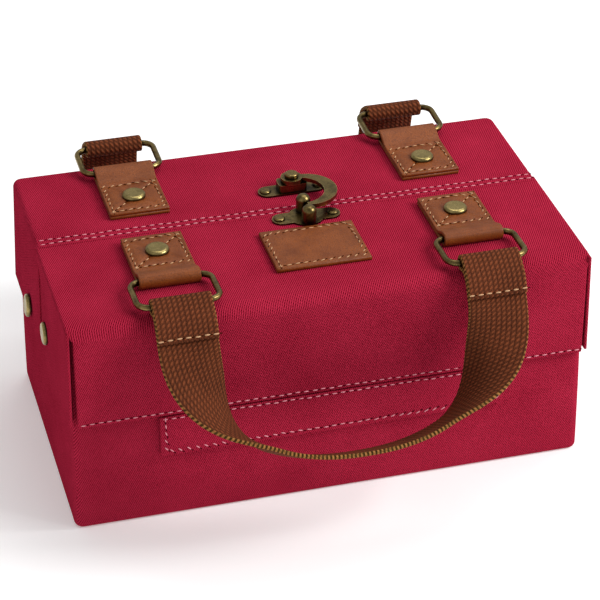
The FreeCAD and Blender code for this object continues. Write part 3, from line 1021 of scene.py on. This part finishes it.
def over_edge(end, way, x, layer):
    """Stations from the ring over the edge of the box, offset by a layer's height from the middle."""
    bar = at(f"{end}_strap_swing")
    hub, down, out = hang(end, way)
    stations = []
    for i in range(7):
        stations.append((bar + Vector((0, way * LEAD * i / 6, layer)), Vector((0, 0, 1))))
    turn = math.radians(90 - LEAN[end])
    for i in range(1, 11):
        angle = turn * i / 10
        normal = Vector((0, way * math.sin(angle), math.cos(angle)))
        stations.append((hub + normal * (BEND + layer), normal))
    for i in range(1, 5):
        stations.append((hub + out * (BEND + layer) + down * (TAIL * i / 4), out))
    return [(place + ACROSS * x, ACROSS, normal) for place, normal in stations]


print("tabs are", TAB_RIGHT - TAB_LEFT, "mm apart and", TRIM, "mm off the middle")

# %% [markdown]
# The middle of the handle hangs as a U that turns edge-on by its lowest point, so its near edge shows. The
# U is a superellipse, which is squarer than a half circle, as stiff webbing hangs.

# %% Hanging U
DROP = 71.0
POWER = 2.3
TWIST_END = 0.62
FULL_TWIST = 96.0
FINE_STEPS = 400
HANG_STEPS = 48


def hanging(end, way):
    """Stations of half the U, from the end of the doubled webbing to its lowest point."""
    hub, down, out = hang(end, way)
    origin = hub + out * (BEND - WEB_THICK / 2) + down * TAIL
    fine, run = [], [0.0]
    for step in range(FINE_STEPS + 1):
        angle = math.pi / 2 * step / FINE_STEPS
        wide = TAB_PLACE * max(math.cos(angle), 0) ** (2 / POWER)
        fine.append(Vector((wide, DROP * math.sin(angle) ** (2 / POWER))))
    fine[-1] = Vector((0, DROP))
    for first, second in zip(fine, fine[1:]):
        run.append(run[-1] + (second - first).length)
    stations = []
    for step in range(1, HANG_STEPS + 1):
        share = step / HANG_STEPS
        index = min(range(FINE_STEPS + 1), key=lambda i: abs(run[i] - run[-1] * share))
        slope = (fine[min(index + 2, FINE_STEPS)] - fine[max(index - 2, 0)]).normalized()
        across = Vector((slope.y, 0, 0)) - down * slope.x
        twist = math.radians(FULL_TWIST) * eased(min(share / TWIST_END, 1))
        breadth = across * math.cos(twist) + out * math.sin(twist)
        face = out * math.cos(twist) - across * math.sin(twist)
        stations.append((origin + ACROSS * fine[index].x + down * fine[index].y, breadth, face))
    return stations


print("stations of half the U", len(hanging("front", -1)))

# %% [markdown]
# One strip takes in all of it: stitched end, round the right ring, down the U, round the left ring, stitched
# end. The left half mirrors the right one.

# %% Webbing handles
LOOP_CLOSE = 9.0


def open_loop(place, bar):
    """How far each layer lifts to go round the wire."""
    share = min(abs(place.y - bar.y) / LOOP_CLOSE + max(bar.z - place.z, 0) / LOOP_CLOSE, 1.0)
    return (WEB_LOOP - WEB_THICK / 2 - LAYER_SLIP) * (1 - eased(share))


def mirror(station):
    return tuple(Vector((-v.x, v.y, v.z)) for v in station)


def handle_stations(end, way):
    bar = at(f"{end}_strap_swing")
    layer = WEB_THICK / 2 + LAYER_SLIP
    half = []
    for place, across, face in over_edge(end, way, TAB_PLACE, layer)[::-1]:
        half.append((place + face * open_loop(place, bar), across, face))
    for i in range(1, 16):
        angle = math.pi * i / 16
        normal = Vector((0, -way * math.sin(angle), math.cos(angle)))
        half.append((bar + ACROSS * TAB_PLACE + normal * WEB_LOOP, ACROSS, normal))
    for place, across, face in over_edge(end, way, TAB_PLACE, -layer):
        half.append((place - face * open_loop(place, bar), across, -face))
    half += [(place, across, -face) for place, across, face in hanging(end, way)]
    whole = half + [mirror(station) for station in half[-2::-1]]
    return [(place + ACROSS * TRIM, across, face) for place, across, face in whole]


for end, way, body in ENDS:
    handle = strip(f"{end}_handle", handle_stations(end, way), WEB_WIDTH, WEB_THICK, WEBBING, 12, 0.7)
    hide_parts(f"{end}_strap")
    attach(handle, f"{end}_strap")

# %% [markdown]
# Stitches repeat by the hundred, so Geometry Nodes lay them: a seam's line is cut into even steps, and each
# step gets one short thread with round ends, turned along the line. Half a step on, a thinner dark bead
# paints the shade inside the needle hole. No sewn row is quite straight, so each thread strays by a small
# random amount.

# %% Stitch tree
SIZE_INPUTS = ("Pitch", "Length", "Thickness")
STRAY = 0.2
HOLE_SHADE_SHARE = 0.85
BEAD_SIDES = 6
BEAD_RINGS = 4


def stitch_tree(thread):
    """A tree that lays one thread's stitches along a mesh line, with a dark bead of painted shade at each
    needle hole.
    """
    tree = bpy.data.node_groups.new("stitches_" + thread.name, "GeometryNodeTree")
    tree.interface.new_socket("Geometry", in_out="INPUT", socket_type="NodeSocketGeometry")
    for label in SIZE_INPUTS:
        tree.interface.new_socket(label, in_out="INPUT", socket_type="NodeSocketFloat")
    tree.interface.new_socket("Geometry", in_out="OUTPUT", socket_type="NodeSocketGeometry")

    def add(kind, values=None, **settings):
        item = tree.nodes.new(kind)
        for key, value in settings.items():
            setattr(item, key, value)
        for key, value in (values or {}).items():
            if isinstance(value, bpy.types.NodeSocket):
                tree.links.new(value, item.inputs[key])
            else:
                item.inputs[key].default_value = value
        return item

    def product(first, second):
        return add("ShaderNodeMath", {0: first, 1: second}, operation="MULTIPLY").outputs[0]

    start = tree.nodes.new("NodeGroupInput")
    pitch, length, thickness = (start.outputs[label] for label in SIZE_INPUTS)
    curve = add("GeometryNodeMeshToCurve", {"Mesh": start.outputs["Geometry"]})
    cut = {"Curve": curve.outputs[0], "Length": pitch}
    points = add("GeometryNodeCurveToPoints", cut, mode="LENGTH")
    tangent = points.outputs["Tangent"]
    reach = {0: (-STRAY * MM,) * 3, 1: (STRAY * MM,) * 3, "Seed": 0}
    stray = add("FunctionNodeRandomValue", reach, data_type="FLOAT_VECTOR")
    turn = add("FunctionNodeAlignRotationToVector", {"Vector": tangent}, axis="Z")
    bead = {"Segments": BEAD_SIDES, "Rings": BEAD_RINGS, "Radius": 0.5}
    ball = add("GeometryNodeMeshUVSphere", bead)
    step = add("ShaderNodeVectorMath", {0: tangent, "Scale": product(pitch, 0.5)}, operation="SCALE")
    gap = add("ShaderNodeMath", {0: pitch, 1: length}, operation="SUBTRACT")
    laid = add("GeometryNodeJoinGeometry")
    # The second pass lays the dark beads of painted shade at the needle holes, half a step on.
    for material, shift, long, share in ((thread, stray, length, 1.0),
                                         (HOLE_SHADES[thread], step, gap.outputs[0], HOLE_SHADE_SHARE)):
        placing = {"Geometry": points.outputs[0], "Offset": shift.outputs[0]}
        moved = add("GeometryNodeSetPosition", placing)
        thick = product(thickness, share)
        girth = add("ShaderNodeCombineXYZ", {0: thick, 1: thick, 2: long})
        sized = {"Geometry": ball.outputs[0], "Scale": girth.outputs[0]}
        shaped = add("GeometryNodeTransform", sized)
        copying = {"Points": moved.outputs[0], "Instance": shaped.outputs[0], "Rotation": turn.outputs[0]}
        copies = add("GeometryNodeInstanceOnPoints", copying)
        real = add("GeometryNodeRealizeInstances", {"Geometry": copies.outputs[0]})
        painted = add("GeometryNodeSetMaterial", {"Geometry": real.outputs[0], "Material": material})
        tree.links.new(painted.outputs[0], laid.inputs[0])
    end_node = tree.nodes.new("NodeGroupOutput")
    tree.links.new(laid.outputs[0], end_node.inputs[0])
    return tree


TREES = {thread: stitch_tree(thread) for thread in HOLE_SHADES}
for tree in TREES.values():
    print(tree.name, len(tree.nodes), "nodes")

# %% [markdown]
# To sew, a seam's points become a mesh of plain edges, and a modifier runs the tree on it. The modifier's
# inputs go by their identifiers and are set before the first evaluation. The result is kept as a plain mesh.

# %% Sewing
CLOTH_STITCH = (4.6, 2.9, 0.75)
STITCH_FACES = 2 * BEAD_SIDES * BEAD_RINGS


def sew(name, seams, body, thread, stitch=CLOTH_STITCH):
    """Lay stitches along each seam, a list of points; a stitch has a pitch, length and thickness."""
    mesh = bpy.data.meshes.new(name)
    points, edges = [], []
    for seam in seams:
        start = len(points)
        points += [Vector(p) * MM for p in seam]
        edges += [(i, i + 1) for i in range(start, len(points) - 1)]
    mesh.from_pydata(points, edges, [])
    piece = bpy.data.objects.new(name, mesh)
    bpy.context.scene.collection.objects.link(piece)
    tree = TREES[thread]
    modifier = piece.modifiers.new("stitches", "NODES")
    modifier.node_group = tree
    sizes = dict(zip(SIZE_INPUTS, stitch))
    for item in tree.interface.items_tree:
        if item.item_type == "SOCKET" and item.in_out == "INPUT" and item.name in sizes:
            modifier[item.identifier] = sizes[item.name] * MM
    settle(piece)
    piece.data.shade_smooth()
    if body:
        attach(piece, body)
    print(name, len(piece.data.polygons) // STITCH_FACES, "stitches")
    return piece


# %% [markdown]
# In the cloth, seams run along the flap's hem, both sides of the fold, the tongue's border and the hood's
# hem. The fold's two rows, like the strip that they hold, are kept fixed in place and attached to neither
# body.

# %% Seams in the cloth
TONGUE_X, TONGUE_Y, TONGUE_Z = limits("tongue_flap")
SEAM_LIFT = 0.1
SEAM_IN = 3.0
HEM_ROW = 1.8
HOOD_ROW = 2.2
TONGUE_ROW = 2.1
FOLD_ROW = 2.1
FOLD_LIFT = 0.3
FOLD_END = 4.0


def across_line(half, y, z, shift=0.0):
    """A seam straight across the box."""
    return [(shift - half, y, z), (shift + half, y, z)]


hem_half = LID_HALF - FLAP_INSET - SEAM_IN
hem_row = across_line(hem_half, LID_Y[0] - SEAM_LIFT, HEM + HEM_ROW, FLAP_SHIFT)
sew("hem_stitches", [hem_row], "lid", THREAD)

fold_ends = LID_HALF - FOLD_END
fold_rows = [across_line(fold_ends, FOLD + way * FOLD_ROW, TOP + FOLD_LIFT) for way in (-1, 1)]
fold_seam = sew("fold_stitches", fold_rows, None, THREAD)
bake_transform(fold_seam)

inset_x = TONGUE_X[1] - SEAM_IN
tongue_low = TONGUE_Z[0] + SEAM_IN
tongue_front = TONGUE_Y[0] - SEAM_LIFT
tongue_top = TONGUE_Z[1] - TONGUE_ROW
tongue_seam = [(-inset_x, tongue_front, tongue_top), (-inset_x, tongue_front, tongue_low),
               (inset_x, tongue_front, tongue_low), (inset_x, tongue_front, tongue_top)]
tongue_seams = [tongue_seam, across_line(inset_x, tongue_front, tongue_top)]
sew("tongue_stitches", tongue_seams, "tongue", THREAD)

hood_row = across_line(LID_X[1] - HOOD_CORNER, HOOD_REAR + SEAM_LIFT, HEM + HOOD_ROW)
sew("hood_stitches", [hood_row], "tub", THREAD)

# %% [markdown]
# In the leather, a seam goes round each tab in a square with one slanting row through it, and round the
# patch. One row across holds each end of the webbing.

# %% Seams in the leather and the webbing
TAB_STITCH = (4.5, 2.7, 0.65)
WEB_STITCH = (4.6, 3.2, 0.95)
PATCH_STITCH = (4.6, 2.8, 0.65)
TAB_TOP = TOP + 2 * LEATHER_THICK - 0.15
WEB_LIFT = 0.15
WEB_ROW = 2.0
WEB_ROW_HALF = 14.5
PATCH_SEAM = 2.6


def square(left, right, front, rear, z):
    """A seam round four corners, back to its start."""
    corners = ((left, front), (right, front), (right, rear), (left, rear), (left, front))
    return [(x, y, z) for x, y in corners]


def tab_seams(way, hand):
    x = TRIM + hand * TAB_PLACE
    tail = FOLD + way * TAB_BACK
    near, far = sorted((tail + way * TAB_NEAR, tail + way * TAB_FAR))
    border = square(x - TAB_HALF, x + TAB_HALF, near, far, TAB_TOP)
    return [border, [border[0], border[2]]]


def webbing_seam(end, way, hand):
    hub, down, out = hang(end, way)
    spot = hub + out * (BEND + WEB_THICK + WEB_LIFT) + down * (TAIL - WEB_ROW)
    return across_line(WEB_ROW_HALF, spot.y, spot.z, TRIM + hand * TAB_PLACE)


for end, way, body in ENDS:
    seams = tab_seams(way, -1) + tab_seams(way, 1)
    sew(f"{end}_tab_stitches", seams, body, TAN_THREAD, TAB_STITCH)
    rows = [webbing_seam(end, way, hand) for side, hand in SIDES]
    sew(f"{end}_handle_stitches", rows, f"{end}_strap", TAN_THREAD, WEB_STITCH)

PATCH_X, PATCH_Y, PATCH_Z = limits("label_patch")
patch_seam = square(PATCH_X[0] + PATCH_SEAM, PATCH_X[1] - PATCH_SEAM, PATCH_Y[0] + PATCH_SEAM,
                    PATCH_Y[1] - PATCH_SEAM, PATCH_Z[1] + SEAM_LIFT)
sew("patch_stitches", [patch_seam], "lid", TAN_THREAD, PATCH_STITCH)

# %% [markdown]
# A pale floor, soft lamps and the camera at the photograph's angle finish the scene. The floor glows a
# little, which lifts it towards white without more light on the box. The camera's place was worked out from
# the box's edges.

# %% Floor
FLOOR_REACH = 6.0
FLOOR_GLOW = 0.22


def pale_floor():
    finish = Finish("pale_floor")
    speck = finish.grain(3.0, 2.0)
    finish.set(Base_Color=finish.mix(speck, colour(252, 252, 252), colour(255, 255, 255)))
    finish.set(Roughness=0.9, Emission_Color=(1, 1, 1, 1), Emission_Strength=FLOOR_GLOW)
    mesh = bpy.data.meshes.new("floor")
    corners = [(x * FLOOR_REACH, y * FLOOR_REACH, 0) for x, y in ((-1, -1), (1, -1), (1, 1), (-1, 1))]
    mesh.from_pydata(corners, [], [(0, 1, 2, 3)])
    mesh.materials.append(finish.done())
    floor = bpy.data.objects.new("floor", mesh)
    bpy.context.scene.collection.objects.link(floor)
    print("floor", 2 * FLOOR_REACH, "m wide")


pale_floor()

# %% [markdown]
# Three area lamps give the soft studio light: a key from the right, a weak fill from the left and one from
# above and behind. The white world fills the rest.

# %% Light and camera
LAMP_AIM = (0, 0, 0.08)
WORLD_LIGHT = 0.42
CAMERA_PLACE = Vector((-298.9, -1111.7, 802.7)) * MM
CAMERA_AIM = Vector((4.3, 3.5, 70.0)) * MM
CAMERA_LENS = 146.8


def aimed(name, data, place, aim):
    """Put a lamp or camera at a place and turn it to its aim."""
    item = bpy.data.objects.new(name, data)
    item.location = place
    item.rotation_euler = (Vector(aim) - Vector(place)).to_track_quat("-Z", "Y").to_euler()
    bpy.context.scene.collection.objects.link(item)
    return item


def lamp(name, place, power, size):
    data = bpy.data.lights.new(name, "AREA")
    data.energy = power
    data.size = size
    aimed(name, data, place, LAMP_AIM)


def camera():
    data = bpy.data.cameras.new("camera")
    data.lens = CAMERA_LENS
    data.sensor_width = 36.0
    data.clip_end = 50.0
    bpy.context.scene.camera = aimed("camera", data, CAMERA_PLACE, CAMERA_AIM)


lamp("key", (1.25, -0.65, 1.2), 25.0, 0.8)
lamp("fill", (-1.2, -0.9, 0.9), 1.5, 1.2)
lamp("top", (0.5, 0.6, 1.7), 10.0, 1.2)
world = bpy.data.worlds.new("studio")
world.use_nodes = True
background = world.node_tree.nodes["Background"]
background.inputs["Color"].default_value = (1, 1, 1, 1)
background.inputs["Strength"].default_value = WORLD_LIGHT
bpy.context.scene.world = world
camera()
bpy.context.scene.view_settings.view_transform = "Standard"
print("camera", (CAMERA_AIM - CAMERA_PLACE).length, "m from its aim")
